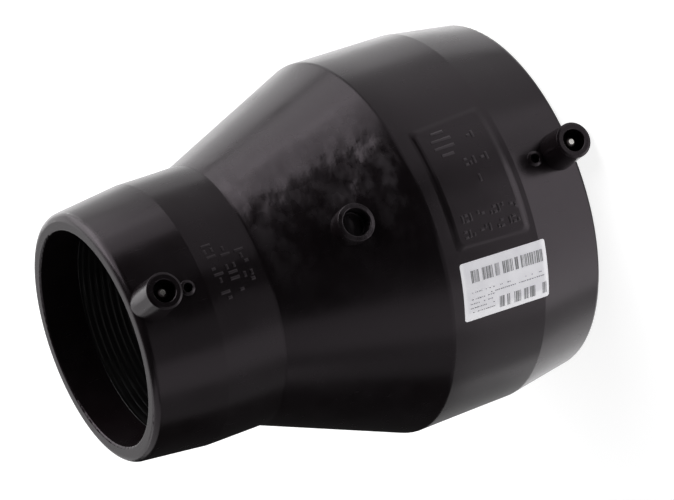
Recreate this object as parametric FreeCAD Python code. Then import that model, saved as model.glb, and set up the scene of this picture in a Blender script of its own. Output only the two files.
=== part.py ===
import math
import os

import FreeCAD
import Part

Vector = FreeCAD.Vector

# Electrofusion reducer in polyethylene, joining two plain pipes of different diameter.
# Millimetres. The pipe axis is Z: the large mouth stands on z = 0 and the small mouth faces up.
# Terminals, indicators, gate boss and marking panel are all in line on the +X side.

# Sockets and walls
large_bore_diameter = 126.0
small_bore_diameter = 90.8
large_wall = 17.0
large_mouth_wall = 12.0
small_wall = 9.9
small_mouth_wall = 6.65
large_barrel_length = 73.5
large_taper_length = 29.8
cone_length = 63.1
small_barrel_length = 56.9
small_taper_length = 30.8
large_socket_depth = 78.0
small_socket_depth = 70.0
large_stop_width = 5.5
small_stop_width = 4.4
small_stop_length = 4.0
mouth_inner_rounding = 0.8
large_mouth_rounding = 2.2
small_mouth_rounding = 3.2
shoulder_rounding = 4.0
neck_rounding = 3.0

# Heating wire: coated wire wound side by side, the coats of its turns welded into one ribbed band
wire_pitch = 2.9
wire_turns = 12
rib_height = 0.7
rib_flat = 0.9
winding_thickness = 2.3
large_cold_zone = 15.0
small_cold_zone = 17.5
lead_diameter = 1.2
lead_bend = 2.0

# Terminals
terminal_height = 16.6
terminal_edge_distance = 8.1
shroud_diameter = 14.8
shroud_foot_diameter = 15.8
shroud_bore_diameter = 9.2
shroud_bore_depth = 12.0
shroud_bevel_width = 0.9
shroud_bevel_drop = 0.45
shroud_edge_rounding = 0.15
shroud_lip_rounding = 0.2
pin_diameter = 4.0
pin_below_face = 2.5
pin_tip_chamfer = 0.9
pin_collar_diameter = 6.4
pin_collar_height = 1.4
pin_root_length = 1.6

# Fusion indicators
small_indicator_from_mouth = 23.4
large_indicator_from_mouth = 19.9
indicator_collar_diameter = 6.4
indicator_collar_height = 1.1
indicator_edge_height = 0.5
indicator_edge_rounding = 0.3
indicator_lip_rounding = 0.2
indicator_well_diameter = 3.8
indicator_well_depth = 3.6
indicator_pin_diameter = 2.8
indicator_pin_length = 3.4
indicator_pin_rise = 0.9

# Gate boss on the cone
boss_height_on_axis = 101.5
boss_diameter = 15.6
boss_ring_width = 2.1
boss_rise = 5.6
boss_edge_drop = 0.25
boss_recess_depth = 6.2
boss_edge_rounding = 0.3
boss_lip_rounding = 0.4
boss_root = 6.0

# Marking panel, a raised plate on the large barrel, and raised marks on it and on the small socket
panel_centre_height = 49.7
panel_azimuth = 0.7
panel_along = 34.2
panel_around = 53.2
panel_rise = 0.4
panel_wall_slope = 5.0
panel_root = 0.4
panel_corner_rounding = 12.0
panel_rim_rounding = 5.0
panel_foot_rounding = 5.0
mark_rise = 0.3
mark_root = 0.2
mark_wall_slope = 2.0
panel_stroke_width = 1.3
panel_stroke_pitch = 1.9
panel_mark_height = 3.4
socket_stroke_width = 1.6
socket_stroke_pitch = 2.5
socket_mark_height = 4.6
stripe_azimuth = 16.4
stripe_step = 2.4
stripe_centre_height = 55.5
stripe_width = 1.5

# Label
label_centre_height = 47.7
label_azimuth = -31.1
label_along = 40.2
label_around = 24.5
label_corner = 1.1
label_thickness = 0.15
label_skew = -2.4

# Sizes that follow from those above
large_bore = large_bore_diameter / 2
small_bore = small_bore_diameter / 2
overall_length = large_barrel_length + cone_length + small_barrel_length
shoulder_height = large_barrel_length
neck_height = large_barrel_length + cone_length
small_taper_height = overall_length - small_taper_length
winding_length = wire_pitch * wire_turns
large_winding_bottom = large_cold_zone
small_winding_bottom = overall_length - small_cold_zone - winding_length

# Outside of the body, from the large mouth to the small mouth: height and radius of each crease
creases = [
    (0.0, large_bore + large_mouth_wall),
    (large_taper_length, large_bore + large_wall - 0.5),
    (shoulder_height, large_bore + large_wall),
    (neck_height, small_bore + small_wall - 0.1),
    (small_taper_height, small_bore + small_wall),
    (overall_length, small_bore + small_mouth_wall),
]


def outer_radius(height):
    for (low, low_radius), (high, high_radius) in zip(creases, creases[1:]):
        if height <= high:
            return low_radius + (high_radius - low_radius) * (height - low) / (high - low)
    return creases[-1][1]


def corner_arc(before, corner, after, rounding):
    """Ends and middle of the arc that rounds a corner, kept within the straight parts beside it."""
    towards = (before - corner).normalize()
    away = (after - corner).normalize()
    half_angle = towards.getAngle(away) / 2
    room = 0.49 * min(before.distanceToPoint(corner), after.distanceToPoint(corner))
    reach = min(rounding / math.tan(half_angle), room)
    radius = reach * math.tan(half_angle)
    centre = corner + (towards + away).normalize() * (radius / math.sin(half_angle))
    middle = centre + (corner - centre).normalize() * radius
    return corner + towards * reach, middle, corner + away * reach


def outline(corners, closed=True):
    """Wire in the XZ plane through corners given as x, z and rounding."""
    points = [Vector(x, 0, z) for x, z, rounding in corners]
    edges = []
    position = None
    first = None
    for index, (x, z, rounding) in enumerate(corners):
        point = points[index]
        end_of_path = not closed and index in (0, len(corners) - 1)
        if rounding and not end_of_path:
            after = points[(index + 1) % len(points)]
            start, middle, end = corner_arc(points[index - 1], point, after, rounding)
        else:
            start = end = point
        if position is not None:
            edges.append(Part.makeLine(position, start))
        if first is None:
            first = start
        if start != end:
            edges.append(Part.Arc(start, middle, end).toShape())
        position = end
    if closed:
        edges.append(Part.makeLine(position, first))
    return Part.Wire(edges)


def turned(corners):
    """Solid of revolution about Z, closed on the -X side."""
    face = Part.Face(outline(corners))
    face.rotate(Vector(0, 0, 0), Vector(0, 0, 1), 180)
    return face.revolve(Vector(0, 0, 0), Vector(0, 0, 1), 360)


def out_along_x(solid, height):
    """Lays a solid turned about Z on the +X axis at a height of the body."""
    solid = solid.copy()
    solid.rotate(Vector(0, 0, 0), Vector(0, 1, 0), 90)
    solid.translate(Vector(0, 0, height))
    return solid


def turn_about_axis(solid, azimuth):
    solid = solid.copy()
    solid.rotate(Vector(0, 0, 0), Vector(0, 0, 1), azimuth)
    return solid


def rounded_plate(around, along, corner):
    """Block through the large barrel's wall on the +X side, rounded at its four corners."""
    inner = large_bore + large_wall / 2
    outer = large_bore + 1.2 * large_wall
    flat = outline([
        (-around / 2, -along / 2, corner),
        (around / 2, -along / 2, corner),
        (around / 2, along / 2, corner),
        (-around / 2, along / 2, corner),
    ])
    flat.rotate(Vector(0, 0, 0), Vector(0, 0, 1), 90)
    flat.translate(Vector(inner, 0, 0))
    return Part.Face(flat).extrude(Vector(outer - inner, 0, 0))


def sleeve_between(low, high, offset):
    """Solid inside the outer surface between two heights, offset outwards."""
    heights = [low] + [height for height, radius in creases if low < height < high] + [high]
    parts = []
    for bottom, top in zip(heights, heights[1:]):
        low_radius = outer_radius(bottom) + offset
        high_radius = outer_radius(top) + offset
        parts.append(Part.makeCone(low_radius, high_radius, top - bottom, Vector(0, 0, bottom)))
    sleeve = parts[0]
    for part in parts[1:]:
        sleeve = sleeve.fuse(part)
    return sleeve


# Plain body, turned about the pipe axis
def plain_body():
    throat_small = small_bore - small_stop_width
    throat_large = large_bore - large_stop_width
    small_stop = overall_length - small_socket_depth
    corners = [
        (large_bore, 0, mouth_inner_rounding),
        (creases[0][1], 0, large_mouth_rounding),
        (creases[1][1], large_taper_length, 0),
        (creases[2][1], shoulder_height, shoulder_rounding),
        (creases[3][1], neck_height, neck_rounding),
        (creases[4][1], small_taper_height, 0),
        (creases[5][1], overall_length, small_mouth_rounding),
        (small_bore, overall_length, mouth_inner_rounding),
        (small_bore, small_stop, 0),
        (throat_small, small_stop, 0),
        (throat_small, small_stop - small_stop_length, 0),
        (throat_large, large_socket_depth, 0),
        (large_bore, large_socket_depth, 0),
    ]
    return turned(corners)


# Heating wire: one wire from pin to pin, wound in both sockets with its ribs flush with the bore
def winding(bore, bottom):
    corners = [
        (bore + winding_thickness, bottom + winding_length, 0),
        (bore + winding_thickness, bottom, 0),
    ]
    for turn in range(wire_turns):
        middle = bottom + (turn + 0.5) * wire_pitch
        corners += [
            (bore + rib_height, middle - wire_pitch / 2, 0),
            (bore, middle - rib_flat / 2, 0),
            (bore, middle + rib_flat / 2, 0),
        ]
    corners.append((bore + rib_height, bottom + winding_length, 0))
    return turned(corners)


def winding_seat(bore, bottom):
    seat = Part.makeCylinder(bore + winding_thickness, winding_length, Vector(0, 0, bottom))
    seat = seat.cut(Part.makeCylinder(bore - 1.0, winding_length, Vector(0, 0, bottom)))
    return turn_about_axis(seat, 180)


def lead(corners):
    """Thin wire along bends in the XZ plane; the first stretch runs radially."""
    path = outline(corners, closed=False)
    start = Vector(corners[0][0], 0, corners[0][1])
    section = Part.Wire(Part.makeCircle(lead_diameter / 2, start, Vector(1, 0, 0)))
    return path.makePipeShell([section], True, True)


def lead_radius(height, bore):
    return (bore + outer_radius(height)) / 2


large_terminal_height = terminal_edge_distance
small_terminal_height = overall_length - terminal_edge_distance
large_lead_radius = lead_radius(large_terminal_height, large_bore)
small_lead_radius = lead_radius(small_terminal_height, small_bore)


def heating_wire():
    half_turn = wire_pitch / 2
    large_outer = large_winding_bottom + half_turn
    large_inner = large_winding_bottom + winding_length - half_turn
    small_outer = small_winding_bottom + winding_length - half_turn
    small_inner = small_winding_bottom + half_turn
    large_start = large_bore + winding_thickness - 0.8
    small_start = small_bore + winding_thickness - 0.8
    large_lead = lead([
        (large_start, large_outer, 0),
        (large_lead_radius, large_outer, lead_bend),
        (large_lead_radius, large_terminal_height, 0),
    ])
    small_lead = lead([
        (small_start, small_outer, 0),
        (small_lead_radius, small_outer, lead_bend),
        (small_lead_radius, small_terminal_height, 0),
    ])
    link = turn_about_axis(lead([
        (large_start, large_inner, 0),
        (large_bore + large_wall / 2, large_inner, lead_bend),
        (small_bore + small_wall / 2, small_inner, lead_bend),
        (small_start, small_inner, 0),
    ]), 180)
    large_winding = winding(large_bore, large_winding_bottom)
    small_winding = winding(small_bore, small_winding_bottom)
    return large_winding.fuse([small_winding, large_lead, small_lead, link])


# Terminals
def shroud(height):
    """Round wall about a terminal, a little wider at its foot, bevelled around its face."""
    surface = outer_radius(height)
    face = surface + terminal_height
    return out_along_x(turned([
        (0, surface - 3.0, 0),
        (shroud_foot_diameter / 2, surface - 3.0, 0),
        (shroud_foot_diameter / 2, surface, 0),
        (shroud_diameter / 2, face - shroud_bevel_drop, shroud_edge_rounding),
        (shroud_diameter / 2 - shroud_bevel_width, face, 0.5),
        (0, face, 0),
    ]), height)


def shroud_pocket(height):
    face = outer_radius(height) + terminal_height
    radius = shroud_bore_diameter / 2
    return out_along_x(turned([
        (0, face - shroud_bore_depth, 0),
        (radius, face - shroud_bore_depth, 0),
        (radius, face - shroud_lip_rounding, 0),
        (radius + shroud_lip_rounding, face, 0),
        (radius + shroud_lip_rounding, face + 1.0, 0),
        (0, face + 1.0, 0),
    ]), height)


def terminal_pin(height, wire_reach):
    face = outer_radius(height) + terminal_height
    tip = face - pin_below_face
    floor = face - shroud_bore_depth
    radius = pin_diameter / 2
    collar = pin_collar_diameter / 2
    root = wire_reach - pin_root_length
    return out_along_x(turned([
        (0, root, 0),
        (radius, root, 0),
        (radius, floor - pin_collar_height, 0),
        (collar, floor - pin_collar_height, 0),
        (collar, floor, 0),
        (radius, floor, 0),
        (radius, tip - pin_tip_chamfer, 0),
        (radius - pin_tip_chamfer, tip, 0),
        (0, tip, 0),
    ]), height)


# Fusion indicators: a well in the wall with a short pin standing at its bottom
def indicator_collar(height):
    """Low ring about the well, its face falling away outwards."""
    surface = outer_radius(height)
    radius = indicator_collar_diameter / 2
    well = indicator_well_diameter / 2
    return out_along_x(turned([
        (0, surface - 2.0, 0),
        (radius, surface - 2.0, 0),
        (radius, surface + indicator_edge_height, indicator_edge_rounding),
        (well, surface + indicator_collar_height, 0),
        (0, surface + indicator_collar_height, 0),
    ]), height)


def indicator_well(height):
    floor = outer_radius(height) - indicator_well_depth
    depth = indicator_well_depth + indicator_collar_height + 1.0
    well = Part.makeCylinder(indicator_well_diameter / 2, depth, Vector(0, 0, floor))
    return out_along_x(well, height)


def indicator_pin(height):
    root = outer_radius(height) - indicator_well_depth + indicator_pin_rise - indicator_pin_length
    pin = Part.makeCylinder(indicator_pin_diameter / 2, indicator_pin_length, Vector(0, 0, root))
    return out_along_x(pin, height)


# Gate boss: a short round boss on the cone, with a deep recess in a ring that falls away outwards
def gate_boss():
    surface = outer_radius(boss_height_on_axis)
    radius = boss_diameter / 2
    return out_along_x(turned([
        (0, surface - boss_root, 0),
        (radius, surface - boss_root, 0),
        (radius, surface + boss_rise - boss_edge_drop, boss_edge_rounding),
        (radius - boss_ring_width, surface + boss_rise, 0),
        (0, surface + boss_rise, 0),
    ]), boss_height_on_axis)


def gate_boss_recess():
    face = outer_radius(boss_height_on_axis) + boss_rise
    radius = boss_diameter / 2 - boss_ring_width
    return out_along_x(turned([
        (0, face - boss_recess_depth, 0),
        (radius, face - boss_recess_depth, 0.6),
        (radius, face + 1.0, 0),
        (0, face + 1.0, 0),
    ]), boss_height_on_axis)


def round_lips(body):
    """Rounds the mouths of the indicator wells and of the boss's recess."""
    for radius, rounding, height, rise in (
        (indicator_well_diameter / 2, indicator_lip_rounding, large_indicator_height, indicator_collar_height),
        (indicator_well_diameter / 2, indicator_lip_rounding, small_indicator_height, indicator_collar_height),
        (boss_diameter / 2 - boss_ring_width, boss_lip_rounding, boss_height_on_axis, boss_rise),
    ):
        middle = Vector(outer_radius(height) + rise, 0, height)
        rim = []
        for edge in body.Edges:
            if all(abs(point.distanceToPoint(middle) - radius) < 0.001 for point in edge.discretize(5)):
                rim.append(edge)
        body = body.makeFillet(rounding, rim)
    return body


# Marking panel: a plate that follows the barrel, with sloping sides, rounded at corners, rim and foot
def panel_face(height):
    return outer_radius(height) + panel_rise


def panel_sector():
    """Wedge about the axis with sloping ends, as long as the body."""
    surface = outer_radius(panel_centre_height)
    face = panel_face(panel_centre_height)
    foot_angle = math.asin(panel_around / 2 / surface)
    rim_angle = foot_angle - panel_rise * panel_wall_slope / surface
    foot = Vector(surface * math.cos(foot_angle), surface * math.sin(foot_angle), 0)
    rim = Vector(face * math.cos(rim_angle), face * math.sin(rim_angle), 0)
    below = foot * 2 - rim
    above = rim * 2 - foot
    sides = [below, above, above + Vector(large_bore, 0, 0)]
    mirrored = [Vector(point.x, -point.y, 0) for point in reversed(sides)]
    corners = [Vector(0, 0, 0)] + sides + mirrored + [Vector(0, 0, 0)]
    return Part.Face(Part.makePolygon(corners)).extrude(Vector(0, 0, overall_length))


def panel():
    low = panel_centre_height - panel_along / 2
    high = panel_centre_height + panel_along / 2
    up = panel_rise * panel_wall_slope
    down = panel_root * panel_wall_slope
    plate = turned([
        (outer_radius(low) - panel_root, low - down, 0),
        (panel_face(low), low + up, 0),
        (panel_face(high), high - up, 0),
        (outer_radius(high) - panel_root, high + down, 0),
    ]).common(panel_sector())
    corners = []
    for edge in plate.Edges:
        start = edge.Vertexes[0].Point
        end = edge.Vertexes[-1].Point
        climb = math.hypot(start.x, start.y) - math.hypot(end.x, end.y)
        if abs(climb) > panel_rise and abs(start.z - end.z) > 0.5 * up:
            corners.append(edge)
    plate = plate.makeFillet(panel_corner_rounding, corners)
    rim = []
    for edge in plate.Edges:
        drops = [panel_face(point.z) - math.hypot(point.x, point.y) for point in edge.discretize(5)]
        if max(drops) < 0.3 * panel_rise:
            rim.append(edge)
    return turn_about_axis(plate.makeFillet(panel_rim_rounding, rim), panel_azimuth)


def on_outer_surface(point):
    return abs(math.hypot(point.x, point.y) - outer_radius(point.z)) < 0.01


def round_panel_foot(body):
    reach = panel_along / 2 + 3 * panel_rise
    foot = []
    for edge in body.Edges:
        points = edge.discretize(5)
        near = all(point.x > 0 and abs(point.z - panel_centre_height) < reach for point in points)
        if near and all(on_outer_surface(point) for point in points):
            foot.append(edge)
    return body.makeFillet(panel_foot_rounding, foot)


# Raised marks: rows of plain strokes with sloping sides, and three stripes
def raised_bar(azimuth, height, along, around, surface):
    across = around / 2 + mark_root * mark_wall_slope
    length = along / 2 + mark_root * mark_wall_slope
    slope = (mark_rise + mark_root) * mark_wall_slope
    bar = Part.makeWedge(
        -across, 0, -length, slope - length, slope - across,
        across, mark_rise + mark_root, length, length - slope, across - slope,
    )
    bar.rotate(Vector(0, 0, 0), Vector(0, 0, 1), -90)
    bar.translate(Vector(surface - mark_root, 0, height))
    return turn_about_axis(bar, azimuth)


def stroke_bars(pattern, height, width, pitch):
    """Place in the row, middle, height and width of each bar; a blank leaves a gap."""
    shapes = {
        "l": [(0, height, width)],
        "o": [(-height / 4, height / 2, width)],
        "n": [(height / 4, height / 2, width)],
        "-": [(0, width, pitch)],
        "=": [(-height / 3, width, pitch), (height / 3, width, pitch)],
        " ": [],
    }
    return [(place,) + bar for place, stroke in enumerate(pattern) for bar in shapes[stroke]]


def panel_marks():
    marks = []
    for azimuth, top, pattern in (
        (12.8, 43.4, "-l"),
        (5.4, 49.6, "=ol -l"),
        (-0.1, 46.6, "l"),
        (-9.8, 60.6, "l=l n- o=ln -o"),
        (-14.2, 61.0, "=lo -nl o= l=o"),
    ):
        bars = stroke_bars(pattern, panel_mark_height, panel_stroke_width, panel_stroke_pitch)
        for place, middle, tall, wide in bars:
            height = top - place * panel_stroke_pitch
            turn = azimuth + math.degrees(middle / outer_radius(height))
            marks.append(raised_bar(turn, height, wide, tall, panel_face(height)))
    for step, length in enumerate((6.0, 9.5, 9.5, 6.0)):
        azimuth = stripe_azimuth - step * stripe_step
        face = panel_face(stripe_centre_height)
        marks.append(raised_bar(azimuth, stripe_centre_height, length, stripe_width, face))
    return marks


def socket_marks():
    surface = outer_radius(neck_height)
    marks = []
    for height, first_azimuth, pattern in (
        (156.0, 14.0, "l=l nl- lo"),
        (150.0, 10.5, "-l =ll o"),
        (144.0, 8.0, "l-o =o"),
    ):
        bars = stroke_bars(pattern, socket_mark_height, socket_stroke_width, socket_stroke_pitch)
        for place, middle, tall, wide in bars:
            azimuth = first_azimuth - math.degrees(place * socket_stroke_pitch / surface)
            marks.append(raised_bar(azimuth, height + middle, tall, wide, surface))
    return marks


def label_sheet():
    low = label_centre_height - label_along / 2
    high = label_centre_height + label_along / 2
    sheet = sleeve_between(low - 4.0, high + 2.0, label_thickness)
    sheet = sheet.cut(sleeve_between(low - 5.0, high + 3.0, 0))
    plate = rounded_plate(label_around, label_along, label_corner)
    plate.rotate(Vector(0, 0, 0), Vector(1, 0, 0), label_skew)
    plate.translate(Vector(0, 0, label_centre_height))
    plate = turn_about_axis(plate, label_azimuth)
    return sheet.common(plate)


small_indicator_height = overall_length - small_indicator_from_mouth
large_indicator_height = large_indicator_from_mouth

wire = heating_wire()
large_pin_solid = terminal_pin(large_terminal_height, large_lead_radius)
small_pin_solid = terminal_pin(small_terminal_height, small_lead_radius)
small_indicator = indicator_pin(small_indicator_height)
large_indicator = indicator_pin(large_indicator_height)

body = plain_body().fuse(panel())
body = round_panel_foot(body)
body = body.fuse([
    shroud(large_terminal_height),
    shroud(small_terminal_height),
    indicator_collar(large_indicator_height),
    indicator_collar(small_indicator_height),
    gate_boss(),
] + panel_marks() + socket_marks())
body = body.cut([
    shroud_pocket(large_terminal_height),
    shroud_pocket(small_terminal_height),
    indicator_well(large_indicator_height),
    indicator_well(small_indicator_height),
    gate_boss_recess(),
    large_pin_solid,
    small_pin_solid,
    small_indicator,
    large_indicator,
    winding_seat(large_bore, large_winding_bottom),
    winding_seat(small_bore, small_winding_bottom),
    wire,
])
body = round_lips(body)

nodes = {
    "reducer_body": body,
    "heating_wire": wire,
    "large_terminal_pin": large_pin_solid.cut(wire),
    "small_terminal_pin": small_pin_solid.cut(wire),
    "large_fusion_indicator": large_indicator,
    "small_fusion_indicator": small_indicator,
    "label": label_sheet(),
}

os.makedirs("parts", exist_ok=True)
for name, shape in nodes.items():
    shape.exportStep("parts/" + name + ".step")
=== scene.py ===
import math
import random

import bpy
from mathutils import Matrix, Vector


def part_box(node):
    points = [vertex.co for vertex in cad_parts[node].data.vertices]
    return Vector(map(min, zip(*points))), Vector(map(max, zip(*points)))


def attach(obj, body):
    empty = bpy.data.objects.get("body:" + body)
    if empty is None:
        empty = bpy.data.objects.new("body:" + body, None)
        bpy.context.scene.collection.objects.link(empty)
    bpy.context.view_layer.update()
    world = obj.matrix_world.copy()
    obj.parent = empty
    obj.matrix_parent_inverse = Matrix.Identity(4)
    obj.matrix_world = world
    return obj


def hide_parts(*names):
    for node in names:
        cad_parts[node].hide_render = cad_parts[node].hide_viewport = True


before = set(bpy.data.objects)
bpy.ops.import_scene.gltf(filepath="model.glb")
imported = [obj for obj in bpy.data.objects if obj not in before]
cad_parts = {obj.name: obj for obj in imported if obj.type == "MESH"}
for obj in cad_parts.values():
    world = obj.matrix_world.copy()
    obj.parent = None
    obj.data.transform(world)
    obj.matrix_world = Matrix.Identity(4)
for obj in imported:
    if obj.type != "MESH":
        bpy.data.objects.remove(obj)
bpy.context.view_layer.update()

# The photograph's camera, in the part's own frame
CAMERA_PLACE = Vector((1.3588, -0.1672, 0.7167))
CAMERA_RIGHT = Vector((0.3544, -0.3782, -0.8552))
CAMERA_UP = Vector((0.2552, 0.9190, -0.3007))
CAMERA_BACK = Vector((0.8996, -0.1116, 0.4222))
CAMERA_LENS = 196.05
CENTRE = Vector((0.0, 0.0, 0.097))

# Sizes of the solids, in metres
LARGE_BORE = 0.063
SMALL_BORE = 0.0454
LARGE_WALL = 0.017
SMALL_WALL = 0.0099
LENGTH = 0.1935
WIRE_PITCH = 0.0029
WIRE_TURNS = 12
WINDING_LENGTH = WIRE_PITCH * WIRE_TURNS
WINDING_THICKNESS = 0.0023
LARGE_WINDING_BOTTOM = 0.015
SMALL_WINDING_BOTTOM = LENGTH - 0.0175 - WINDING_LENGTH
LEAD_RADIUS = 0.0006
TERMINAL_FROM_MOUTH = 0.0081
LABEL_HEIGHT = 0.0477
LABEL_AZIMUTH = math.radians(-31.1)
LABEL_SKEW = math.radians(-2.4)
LABEL_ALONG = 0.0402
LABEL_AROUND = 0.0245
LABEL_THICKNESS = 0.00015
PRINT_LIFT = 0.00004
PANEL_RISE = 0.0004

# Height and radius of each crease outside, from the large mouth to the small mouth
CREASES = [
    (0.0, 0.075),
    (0.0298, 0.0795),
    (0.0735, 0.080),
    (0.1366, 0.0552),
    (0.1627, 0.0553),
    (0.1935, 0.05205),
]

# Where the body is worn and lighter by painted sheen and highlight: heights of the cone's skin and of
# both rows of raised marks
CONE_WEAR_AND_SHEEN = (0.0765, 0.1350)
PANEL_MARKS = (0.0345, 0.0648)
SOCKET_MARKS = (0.1405, 0.1615)
SOCKET_MARK_CRESTS = (0.05531, 0.05540)


def outer_radius(height):
    for (low, low_radius), (high, high_radius) in zip(CREASES, CREASES[1:]):
        if height <= high:
            return low_radius + (high_radius - low_radius) * (height - low) / (high - low)
    return CREASES[-1][1]


# Building blocks of the materials
def new_material(name, colour, rough, metallic=0.0):
    material = bpy.data.materials.new(name)
    material.use_nodes = True
    shader = material.node_tree.nodes["Principled BSDF"]
    shader.inputs["Base Color"].default_value = colour + (1.0,)
    shader.inputs["Roughness"].default_value = rough
    shader.inputs["Metallic"].default_value = metallic
    return material, material.node_tree, shader


def add(tree, kind, **settings):
    node = tree.nodes.new(kind)
    for name, value in settings.items():
        setattr(node, name, value)
    return node


def surface_place(tree):
    return add(tree, "ShaderNodeTexCoord").outputs["Object"]


def remap(tree, place, **settings):
    """A point moved, turned or stretched, with the settings named as on the node."""
    node = add(tree, "ShaderNodeMapping")
    for name, value in settings.items():
        node.inputs[name].default_value = value
    tree.links.new(place, node.inputs["Vector"])
    return node.outputs["Vector"]


def noise(tree, place, scale, detail=2.0, rough=0.5, stretch=None):
    texture = add(tree, "ShaderNodeTexNoise")
    texture.inputs["Scale"].default_value = scale
    texture.inputs["Detail"].default_value = detail
    texture.inputs["Roughness"].default_value = rough
    if stretch:
        place = remap(tree, place, Scale=stretch)
    tree.links.new(place, texture.inputs["Vector"])
    return texture.outputs["Fac"]


def spread(tree, value, low, high, to_low, to_high, smooth=False):
    ramp = add(tree, "ShaderNodeMapRange", interpolation_type="SMOOTHSTEP" if smooth else "LINEAR")
    ramp.inputs["From Min"].default_value = low
    ramp.inputs["From Max"].default_value = high
    ramp.inputs["To Min"].default_value = to_low
    ramp.inputs["To Max"].default_value = to_high
    tree.links.new(value, ramp.inputs["Value"])
    return ramp.outputs["Result"]


def combine(tree, operation, first, second):
    node = add(tree, "ShaderNodeMath", operation=operation)
    for socket, value in ((node.inputs[0], first), (node.inputs[1], second)):
        if isinstance(value, (int, float)):
            socket.default_value = value
        else:
            tree.links.new(value, socket)
    return node.outputs[0]


def product(tree, value, *factors):
    for factor in factors:
        value = combine(tree, "MULTIPLY", value, factor)
    return value


def blend(tree, factor, first, second):
    """From the first colour to the second; a colour is three numbers or the output of a node."""
    node = add(tree, "ShaderNodeMix", data_type="RGBA")
    for socket, colour in ((node.inputs["A"], first), (node.inputs["B"], second)):
        if isinstance(colour, tuple):
            socket.default_value = colour + (1.0,)
        else:
            tree.links.new(colour, socket)
    tree.links.new(factor, node.inputs["Factor"])
    return node.outputs["Result"]


def bump(tree, height, depth, below=None):
    node = add(tree, "ShaderNodeBump")
    node.inputs["Strength"].default_value = 1.0
    node.inputs["Distance"].default_value = depth
    tree.links.new(height, node.inputs["Height"])
    if below is not None:
        tree.links.new(below, node.inputs["Normal"])
    return node.outputs["Normal"]


def band(tree, value, low, high, edge=0.0005):
    """One between two values and nothing outside them."""
    rising = spread(tree, value, low - edge, low + edge, 0.0, 1.0, True)
    falling = spread(tree, value, high - edge, high + edge, 1.0, 0.0, True)
    return product(tree, rising, falling)


def parts_of(tree, place):
    split = add(tree, "ShaderNodeSeparateXYZ")
    tree.links.new(place, split.inputs["Vector"])
    return split.outputs["X"], split.outputs["Y"], split.outputs["Z"]


def finish_surface(tree, shader, colour=None, rough=None, normal=None):
    """Joins what was worked out for a surface to its shader."""
    for name, output in (("Base Color", colour), ("Roughness", rough), ("Normal", normal)):
        if output is not None:
            tree.links.new(output, shader.inputs[name])


# Materials
def worn_highlit_crests(tree, place, height):
    """The crests of the raised marks on the panel and on the small socket: rougher from wear, and
    lighter by a painted highlight.
    """
    flat = add(tree, "ShaderNodeVectorMath", operation="MULTIPLY")
    flat.inputs[1].default_value = (1.0, 1.0, 0.0)
    tree.links.new(place, flat.inputs[0])
    length = add(tree, "ShaderNodeVectorMath", operation="LENGTH")
    tree.links.new(flat.outputs["Vector"], length.inputs[0])
    radius = length.outputs["Value"]
    (low, low_radius), (high, high_radius) = CREASES[1:3]
    slope = (high_radius - low_radius) / (high - low)
    level = low_radius - slope * low + PANEL_RISE
    above = combine(tree, "SUBTRACT", radius, product(tree, height, slope))
    on_panel = spread(tree, above, level + 0.00004, level + 0.00015, 0.0, 1.0, True)
    on_panel = product(tree, on_panel, band(tree, height, *PANEL_MARKS))
    on_socket = spread(tree, radius, *SOCKET_MARK_CRESTS, 0.0, 0.4, True)
    on_socket = product(tree, on_socket, band(tree, height, *SOCKET_MARKS))
    return combine(tree, "MAXIMUM", on_panel, on_socket)


def cone_wear_and_sheen(tree, place):
    """How strongly the cone's skin is dented and scuffed, the scuffs partly painted sheen, and how dull
    its smudges are.
    """
    x, y, height = parts_of(tree, place)
    on_cone = band(tree, height, *CONE_WEAR_AND_SHEEN, 0.004)
    front_half = spread(tree, x, 0.004, 0.020, 0.15, 1.0, True)
    upper = band(tree, y, -0.010, 0.046, 0.012)
    # Band where the cone's skin catches the light: dents there, and scuff colour that is partly painted
    # sheen.
    rubbed_and_sheen = band(tree, y, 0.004, 0.030, 0.007)
    rubbed_and_sheen = combine(tree, "ADD", product(tree, rubbed_and_sheen, 0.58), product(tree, upper, 0.42))
    patchy = spread(tree, noise(tree, place, 28.0), 0.35, 0.60, 0.45, 1.0, True)
    smudge = noise(tree, place, 95.0, stretch=(1.0, 1.0, 1.5))
    smudge = spread(tree, smudge, 0.50, 0.66, 0.0, 0.10, True)
    return (
        product(tree, on_cone, rubbed_and_sheen, patchy, front_half),
        product(tree, smudge, on_cone, upper, front_half),
    )


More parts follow.
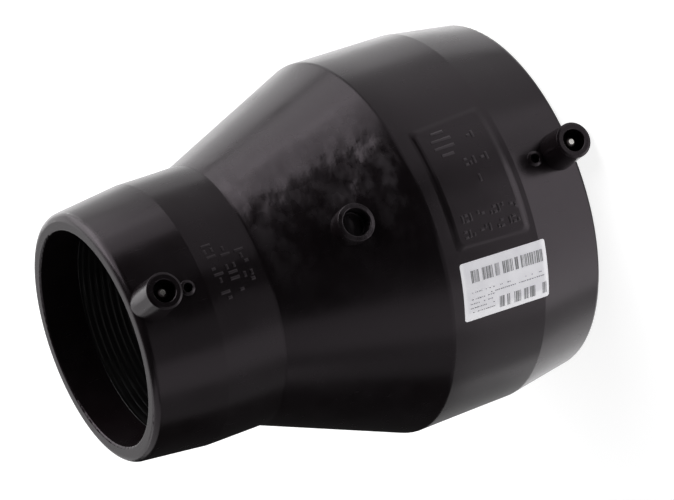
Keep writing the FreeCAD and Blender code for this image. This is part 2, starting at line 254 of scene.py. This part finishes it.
def black_plastic(name, rough=0.24, body=True):
    """Moulded black polyethylene: fine skin and slow waves; the body's cone and marks are worn, and
    lighter there partly by painted sheen and highlight.
    """
    material, tree, shader = new_material(name, (0.0065, 0.0045, 0.0052), rough)
    shader.inputs["Specular Tint"].default_value = (1.0, 0.87, 0.965, 1.0)
    place = surface_place(tree)
    skin = noise(tree, place, 900.0, 2.0, 0.55)
    waves = noise(tree, place, 26.0, 1.0, 0.4)
    blotch = noise(tree, place, 55.0, 4.0, 0.6)
    scratch = noise(tree, place, 90.0, 6.0, 0.75, (1.0, 6.0, 0.7))
    normal = bump(tree, waves, 0.00022)
    dull = spread(tree, scratch, 0.60, 0.74, 0.0, 0.12, True)
    gloss = combine(tree, "ADD", spread(tree, blotch, 0.3, 0.7, rough - 0.03, rough + 0.04), dull)
    pale = spread(tree, blotch, 0.35, 0.75, 0.0, 1.0)
    colour = blend(tree, pale, (0.0055, 0.0036, 0.0042), (0.0090, 0.0068, 0.0078))
    if body:
        strength, smudge = cone_wear_and_sheen(tree, place)
        dent = noise(tree, place, 190.0, stretch=(1.0, 0.8, 1.5))
        dish = noise(tree, place, 85.0, 1.0, stretch=(1.0, 0.9, 1.5))
        normal = bump(tree, product(tree, dent, strength), 0.0004, normal)
        normal = bump(tree, product(tree, dish, strength), 0.0014, normal)
        crest = worn_highlit_crests(tree, place, parts_of(tree, place)[2])
        gloss = combine(tree, "ADD", gloss, product(tree, crest, 0.28))
        gloss = combine(tree, "ADD", gloss, smudge)
        # Scuffs: lighter patches on the cone's front, partly wear and partly painted sheen.
        scuff_and_sheen = noise(tree, place, 120.0, stretch=(1.0, 0.9, 1.3))
        scuff_and_sheen = product(tree, spread(tree, scuff_and_sheen, 0.38, 0.68, 0.0, 0.75, True), strength)
        # Lighter colour on the mark crests and the cone's scuffs: partly real wear, partly painted
        # highlight and sheen.
        wear = combine(tree, "MAXIMUM", crest, scuff_and_sheen)
        colour = blend(tree, wear, colour, (0.058, 0.051, 0.056))
    finish_surface(tree, shader, colour, gloss, bump(tree, skin, 0.0000045, normal))
    return material


def wire_coat():
    """The wire's own coat, a little duller than the body, with faint marks from winding."""
    material, tree, shader = new_material("wire_coat", (0.004, 0.0037, 0.004), 0.34)
    place = surface_place(tree)
    fine = noise(tree, place, 700.0, 3.0, 0.6)
    slow = noise(tree, place, 60.0)
    rough = spread(tree, slow, 0.3, 0.7, 0.28, 0.46)
    finish_surface(tree, shader, rough=rough, normal=bump(tree, fine, 0.000012))
    return material


def tinned_brass(name, tip):
    """Bright tinned brass with fine lathe rings; the shaft below the tip is duller, and dark by painted
    shade inside the shroud.
    """
    material, tree, shader = new_material(name, (0.95, 0.90, 0.85), 0.25, 1.0)
    place = surface_place(tree)
    rings = noise(tree, place, 1500.0, stretch=(1.0, 0.05, 0.05))
    wear = noise(tree, place, 500.0, 3.0, 0.6)
    shaft = spread(tree, parts_of(tree, place)[0], tip - 0.0008, tip - 0.0002, 1.0, 0.0, True)
    rough = combine(tree, "ADD", spread(tree, wear, 0.3, 0.7, 0.22, 0.30), product(tree, shaft, 0.2))
    # Painted shade: the shaft below the tip is coloured dark where it sits down in the shroud.
    colour = blend(tree, shaft, (0.95, 0.92, 0.88), (0.07, 0.06, 0.05))
    finish_surface(tree, shader, colour, rough, bump(tree, rings, 0.000004))
    return material


def label_film():
    """White film, whiter along its unprinted edge, with a painted glow that makes it brighter than the
    lamps do.
    """
    material, tree, shader = new_material("label_film", (0.92, 0.91, 0.95), 0.42)
    # Painted glow: the film emits light of its own so it stands brighter than the lamps make it.
    shader.inputs["Emission Color"].default_value = (0.965, 0.955, 1.0, 1.0)
    shader.inputs["Emission Strength"].default_value = 0.31
    place = surface_place(tree)
    cast = noise(tree, place, 120.0, 3.0)
    grain = noise(tree, place, 1600.0)
    facing = remap(tree, place, Rotation=(0.0, 0.0, -LABEL_AZIMUTH))
    level = remap(
        tree, facing, Location=(0.0, 0.0, -LABEL_HEIGHT), Rotation=(-LABEL_SKEW, 0.0, 0.0)
    )
    around, along = parts_of(tree, level)[1:]
    borders = []
    for distance, width in ((around, LABEL_AROUND), (along, LABEL_ALONG)):
        from_middle = combine(tree, "ABSOLUTE", distance, 0.0)
        start, end = width / 2 - 0.0022, width / 2 - 0.0008
        borders.append(spread(tree, from_middle, start, end, 0.0, 1.0, True))
    inside = combine(tree, "SUBTRACT", 1.0, combine(tree, "MAXIMUM", *borders))
    haze = product(tree, spread(tree, cast, 0.35, 0.65, 0.45, 1.0), inside)
    colour = blend(tree, haze, (0.97, 0.96, 0.985), (0.68, 0.67, 0.715))
    rough = spread(tree, cast, 0.3, 0.7, 0.38, 0.5)
    finish_surface(tree, shader, colour, rough, bump(tree, grain, 0.000003))
    return material


def label_ink():
    """Thermal print: soft grey, thinner in places."""
    material, tree, shader = new_material("label_ink", (0.20, 0.20, 0.21), 0.5)
    thin = noise(tree, surface_place(tree), 260.0, 4.0, 0.6)
    thin = spread(tree, thin, 0.35, 0.7, 0.0, 1.0)
    colour = blend(tree, thin, (0.23, 0.23, 0.24), (0.43, 0.43, 0.45))
    finish_surface(tree, shader, colour)
    return material


def floor_paint():
    """Plain pale floor, lit evenly enough to read as white paper."""
    material, _, shader = new_material("floor_paint", (0.50, 0.50, 0.50), 0.9)
    shader.inputs["Emission Color"].default_value = (1.0, 1.0, 1.0, 1.0)
    shader.inputs["Emission Strength"].default_value = 0.85
    return material


# Pieces made here
def new_piece(name, verts, faces, material, smooth=True):
    mesh = bpy.data.meshes.new(name)
    mesh.from_pydata(verts, [], faces)
    mesh.validate()
    if smooth:
        mesh.polygons.foreach_set("use_smooth", [True] * len(mesh.polygons))
    mesh.materials.append(material)
    piece = bpy.data.objects.new(name, mesh)
    bpy.context.scene.collection.objects.link(piece)
    return piece


def grid_faces(first, rows, columns, flip=False):
    """Quads between rows of points; each row closes on itself."""
    faces = []
    for row in range(rows - 1):
        for column in range(columns):
            a = first + row * columns + column
            b = first + row * columns + (column + 1) % columns
            c, d = b + columns, a + columns
            faces.append((a, d, c, b) if flip else (a, b, c, d))
    return faces


def winding(bore, bottom):
    """Ribbed band in a socket: the ribs climb one pitch a turn and fade out at both ends."""
    around = 224
    per_turn = 10
    rows = WIRE_TURNS * per_turn + 1
    depth = 0.0004
    fade = 0.6
    verts = []
    for row in range(rows):
        height = bottom + row * WIRE_PITCH / per_turn
        turns = row / per_turn
        ends = min(1.0, turns / fade, (WIRE_TURNS - turns) / fade)
        for column in range(around):
            phase = (turns - column / around) % 1.0
            rib = math.sqrt(max(0.0, 1.0 - (2.0 * phase - 1.0) ** 2))
            radius = bore + depth * (1.0 - rib) * ends
            angle = math.tau * column / around
            verts.append((radius * math.cos(angle), radius * math.sin(angle), height))
    faces = grid_faces(0, rows, around, flip=True)
    outer = len(verts)
    for height in (bottom, bottom + WINDING_LENGTH):
        for column in range(around):
            angle = math.tau * column / around
            radius = bore + WINDING_THICKNESS
            verts.append((radius * math.cos(angle), radius * math.sin(angle), height))
    faces += grid_faces(outer, 2, around)
    last = (rows - 1) * around
    for column in range(around):
        after = (column + 1) % around
        faces.append((column, after, outer + after, outer + column))
        faces.append((last + after, last + column, outer + around + column, outer + around + after))
    return verts, faces


def tube(points, radius):
    """Round wire along points that lie in one plane through the axis."""
    sides = 12
    verts = []
    across = (points[-1] - points[0]).cross(Vector((0, 0, 1)))
    if across.length < 1e-9:
        across = Vector((0, 1, 0))
    across.normalize()
    for index, point in enumerate(points):
        before = points[max(index - 1, 0)]
        after = points[min(index + 1, len(points) - 1)]
        along = (after - before).normalized()
        side = along.cross(across).normalized()
        for step in range(sides):
            angle = math.tau * step / sides
            verts.append(tuple(point + (across * math.cos(angle) + side * math.sin(angle)) * radius))
    faces = grid_faces(0, len(points), sides)
    faces.append(tuple(reversed(range(sides))))
    faces.append(tuple(range((len(points) - 1) * sides, len(points) * sides)))
    return verts, faces


def bent(corners):
    """Points along corners, each a signed distance from the axis and a height, with round bends."""
    radius = 0.002
    steps = 6
    points = [Vector((x, 0.0, z)) for x, z in corners]
    path = [points[0]]
    for before, corner, after in zip(points, points[1:], points[2:]):
        towards = (before - corner).normalized()
        away = (after - corner).normalized()
        half = towards.angle(away) / 2
        reach = radius / math.tan(half)
        start, end = corner + towards * reach, corner + away * reach
        for step in range(steps + 1):
            t = step / steps
            path.append(start * (1 - t) ** 2 + corner * 2 * t * (1 - t) + end * t ** 2)
    path.append(points[-1])
    return path


def heating_wire(material):
    """One wire: a winding in each socket, the link between them and the leads to both terminals."""
    verts, faces = [], []

    def join(part):
        first = len(verts)
        verts.extend(part[0])
        faces.extend(tuple(first + i for i in face) for face in part[1])

    half = WIRE_PITCH / 2
    inset = 0.0015
    large_face = LARGE_BORE + inset
    small_face = SMALL_BORE + inset
    large_start = LARGE_WINDING_BOTTOM + half
    large_end = LARGE_WINDING_BOTTOM + WINDING_LENGTH - half
    small_start = SMALL_WINDING_BOTTOM + half
    small_end = SMALL_WINDING_BOTTOM + WINDING_LENGTH - half
    small_terminal = LENGTH - TERMINAL_FROM_MOUTH
    large_lead = (LARGE_BORE + outer_radius(TERMINAL_FROM_MOUTH)) / 2
    small_lead = (SMALL_BORE + outer_radius(small_terminal)) / 2
    join(winding(LARGE_BORE, LARGE_WINDING_BOTTOM))
    join(winding(SMALL_BORE, SMALL_WINDING_BOTTOM))
    for corners in (
        [(large_face, large_start), (large_lead, large_start), (large_lead, TERMINAL_FROM_MOUTH)],
        [(small_face, small_end), (small_lead, small_end), (small_lead, small_terminal)],
        [
            (-large_face, large_end),
            (-LARGE_BORE - LARGE_WALL / 2, large_end),
            (-SMALL_BORE - SMALL_WALL / 2, small_start),
            (-small_face, small_start),
        ],
    ):
        join(tube(bent(corners), LEAD_RADIUS))
    piece = new_piece("heating_wire_wound", verts, faces, material)
    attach(piece, "root")
    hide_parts("heating_wire")


def on_label(across, down):
    """Point on the label: across 0 to 1 from the cone's end, down 0 to 1 from the upper edge."""
    around = (0.5 - down) * LABEL_AROUND
    along = (0.5 - across) * LABEL_ALONG
    y = around * math.cos(LABEL_SKEW) - along * math.sin(LABEL_SKEW)
    z = LABEL_HEIGHT + around * math.sin(LABEL_SKEW) + along * math.cos(LABEL_SKEW)
    radius = outer_radius(z) + LABEL_THICKNESS + PRINT_LIFT
    angle = LABEL_AZIMUTH + math.asin(y / radius)
    return radius * math.cos(angle), radius * math.sin(angle), z


def print_patch(verts, faces, left, right, top, bottom, steps=4):
    first = len(verts)
    for step in range(steps + 1):
        down = top + (bottom - top) * step / steps
        verts.append(on_label(left, down))
        verts.append(on_label(right, down))
    for step in range(steps):
        a = first + 2 * step
        faces.append((a, a + 2, a + 3, a + 1))


def label_print(material):
    """Plain bars in two rows and plain dashes for the small print; they stand for nothing."""
    chance = random.Random(7)
    verts, faces = [], []

    def bars(left, right, top, bottom, dark):
        place = left
        while place < right:
            width = chance.choice((0.0045, 0.0045, 0.009, 0.0135))
            gap = chance.choice((0.005, 0.005, 0.01)) / dark
            print_patch(verts, faces, place, min(place + width, right), top, bottom)
            place += width + gap

    def dashes(left, right, down, height, fill):
        place = left
        while place < right:
            width = chance.uniform(0.008, 0.022)
            if chance.random() < fill:
                print_patch(verts, faces, place, min(place + width, right), down, down + height, 1)
            place += width + chance.uniform(0.005, 0.012)

    for left, right, dark in (
        (0.11, 0.20, 1.3),
        (0.24, 0.37, 1.2),
        (0.39, 0.44, 1.7),
        (0.48, 0.60, 1.1),
        (0.625, 0.665, 1.8),
        (0.695, 0.955, 1.0),
    ):
        bars(left, right, 0.15, 0.36, dark)
    for left, right, dark in (
        (0.41, 0.47, 1.3),
        (0.50, 0.54, 0.6),
        (0.585, 0.67, 1.0),
        (0.70, 0.755, 1.6),
        (0.77, 0.835, 1.5),
        (0.92, 0.975, 1.6),
    ):
        bars(left, right, 0.725, 0.925, dark)
    dashes(0.10, 0.92, 0.515, 0.016, 0.6)
    dashes(0.30, 0.95, 0.59, 0.018, 0.8)
    for row in range(4):
        dashes(0.07, 0.36, 0.63 + row * 0.075, 0.016, 0.75)
    piece = new_piece("label_print", verts, faces, material, smooth=False)
    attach(piece, "root")


def studio_floor():
    size = 6.0
    level = -0.0002
    corners = [(-size, -size, level), (size, -size, level), (size, size, level), (-size, size, level)]
    piece = new_piece("floor", corners, [(0, 1, 2, 3)], floor_paint(), smooth=False)
    piece.visible_diffuse = False
    piece.visible_glossy = False
    piece.visible_shadow = False


# Camera and light

# Name, azimuth and elevation in degrees, width and height, and brightness of each soft light
SOFTBOXES = [
    ("key_high", 90, 37.5, (0.45, 0.94), 3.1),
    ("key_low", 90, 1, (0.50, 0.38), 1.60),
    ("wide_top", 90, 37.5, (1.45, 0.94), 1.5),
    ("near_top", 68, 1, (0.44, 0.40), 1.10),
    ("far_low", 135, -25, (1.10, 1.55), 0.80),
    ("far_mid", 150, 0, (0.50, 1.55), 0.56),
    ("far_high", 150, 25, (1.90, 1.55), 0.65),
    ("left_high", 240, 37.5, (1.45, 0.94), 0.55),
    ("under_front", 320, -51, (1.40, 0.45), 1.0),
    ("under_back", 208, -47.5, (1.10, 0.58), 0.80),
    ("front_low", 300, -25, (1.90, 1.55), 0.22),
    ("front_mid", 300, 0, (0.50, 1.55), 0.36),
    ("near_low", 62, -24, (1.85, 0.42), 0.34),
    ("near_under", 56, -42, (0.90, 0.30), 0.26),
    ("under_right", 20, -50, (0.60, 0.35), 0.40),
]
LIGHT_DISTANCE = 1.0
FLOOR_GLOW_RADIUS = 0.20
FLOOR_GLOW_BRIGHTNESS = 0.33
WORLD_BRIGHTNESS = 0.02


def camera():
    data = bpy.data.cameras.new("photo_camera")
    data.sensor_width = 36.0
    data.lens = CAMERA_LENS
    data.clip_start = 0.05
    data.clip_end = 20.0
    cam = bpy.data.objects.new("photo_camera", data)
    bpy.context.scene.collection.objects.link(cam)
    turn = Matrix((CAMERA_RIGHT, CAMERA_UP, CAMERA_BACK)).transposed()
    cam.matrix_world = Matrix.Translation(CAMERA_PLACE) @ turn.to_4x4()
    bpy.context.scene.camera = cam


def new_light(data, place):
    light = bpy.data.objects.new(data.name, data)
    light.location = place
    light.visible_camera = False
    bpy.context.scene.collection.objects.link(light)
    return light


def softbox(name, azimuth, elevation, size, brightness):
    """Flat soft light, seen from the object's centre at an azimuth and elevation in degrees."""
    a, e = math.radians(azimuth), math.radians(elevation)
    away = Vector((math.cos(a) * math.cos(e), math.sin(a) * math.cos(e), math.sin(e)))
    data = bpy.data.lights.new(name, "AREA")
    data.shape = "RECTANGLE"
    data.size, data.size_y = size
    data.energy = brightness * math.pi * size[0] * size[1]
    light = new_light(data, CENTRE + away * LIGHT_DISTANCE)
    light.rotation_mode = "QUATERNION"
    light.rotation_quaternion = (-away).to_track_quat("-Z", "Y")


def floor_glow():
    """The light that the pale floor sends up around the large mouth."""
    data = bpy.data.lights.new("floor_glow", "AREA")
    data.shape = "DISK"
    data.size = 2 * FLOOR_GLOW_RADIUS
    data.energy = FLOOR_GLOW_BRIGHTNESS * math.pi * math.pi * FLOOR_GLOW_RADIUS ** 2
    light = new_light(data, (0.0, 0.0, -0.001))
    light.rotation_euler = (math.pi, 0.0, 0.0)


def studio_light():
    world = bpy.data.worlds.new("studio")
    world.use_nodes = True
    background = world.node_tree.nodes["Background"]
    background.inputs["Color"].default_value = (1.0, 1.0, 1.0, 1.0)
    background.inputs["Strength"].default_value = WORLD_BRIGHTNESS
    bpy.context.scene.world = world
    for row in SOFTBOXES:
        softbox(*row)
    floor_glow()


# The scene
bpy.context.scene.view_settings.view_transform = "Standard"
camera()
studio_floor()
studio_light()

indicator_plastic = black_plastic("indicator_plastic", 0.34, body=False)
finishes = {
    "reducer_body": black_plastic("body_plastic"),
    "large_fusion_indicator": indicator_plastic,
    "small_fusion_indicator": indicator_plastic,
    "large_terminal_pin": tinned_brass("large_pin_metal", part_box("large_terminal_pin")[1][0]),
    "small_terminal_pin": tinned_brass("small_pin_metal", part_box("small_terminal_pin")[1][0]),
    "label": label_film(),
}
for name, finish in finishes.items():
    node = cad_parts[name]
    node.data.materials.clear()
    node.data.materials.append(finish)
heating_wire(wire_coat())
label_print(label_ink())
